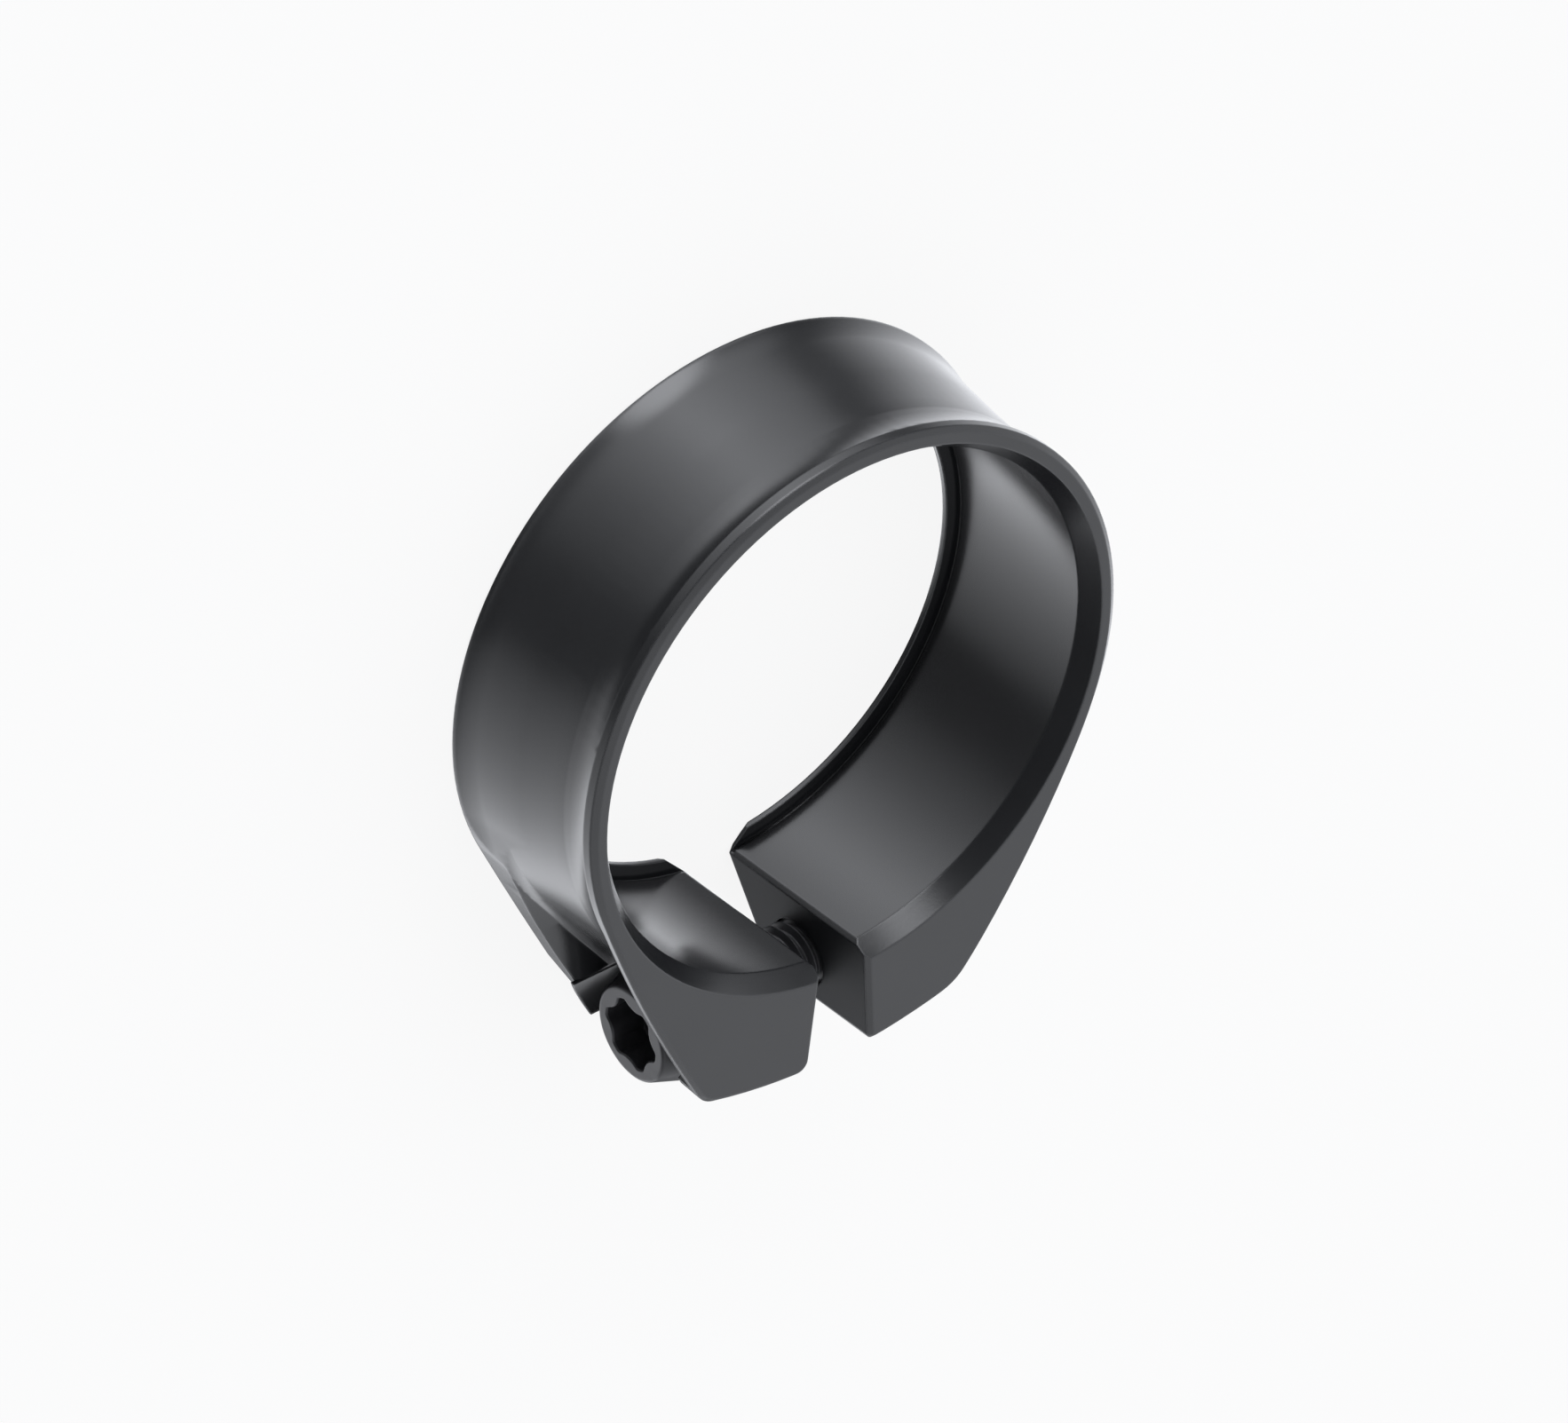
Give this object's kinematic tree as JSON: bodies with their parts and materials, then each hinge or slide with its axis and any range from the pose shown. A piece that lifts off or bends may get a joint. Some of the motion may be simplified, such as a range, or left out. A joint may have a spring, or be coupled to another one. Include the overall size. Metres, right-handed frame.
{
  "type": "seatpost clamp",
  "caption": "Black split ring clamp with a stop lip, an outside waist groove and a cross screw through its lugs, which closes a seat tube round a bicycle seatpost.",
  "frame": {"origin": "on the bore axis at the outer face of the lip, on which the part lies", "axes": "+Z along the bore out of the mouth, the way the seat tube leaves; +X along the screw towards its head; +Y through the lugs"},
  "size_m": [0.0448, 0.0516, 0.0143],
  "materials": {
    "collar": "black anodised, satin gloss",
    "washer": "blackened steel",
    "clamp_screw": "black oxide, lightly oiled"
  },
  "bodies": {
    "collar": {"collar": "collar"},
    "washer": {"washer": "washer"},
    "clamp_screw": {"clamp_screw": "clamp_screw"}
  },
  "joints": [
    {"name": "screw_travel", "type": "slide", "parent": "collar", "child": "washer", "axis": [1, 0, 0], "range_m": [0, 0.0042]},
    {"name": "screw_turn", "type": "hinge", "parent": "washer", "child": "clamp_screw", "pos_m": [0.0105, 0.02443, 0.00717], "axis": [1, 0, 0], "range_deg": [0, 1920]}
  ],
  "couplings": [
    {"joint": "screw_turn", "follows": "screw_travel", "rad_per_m": 7854}
  ]
}
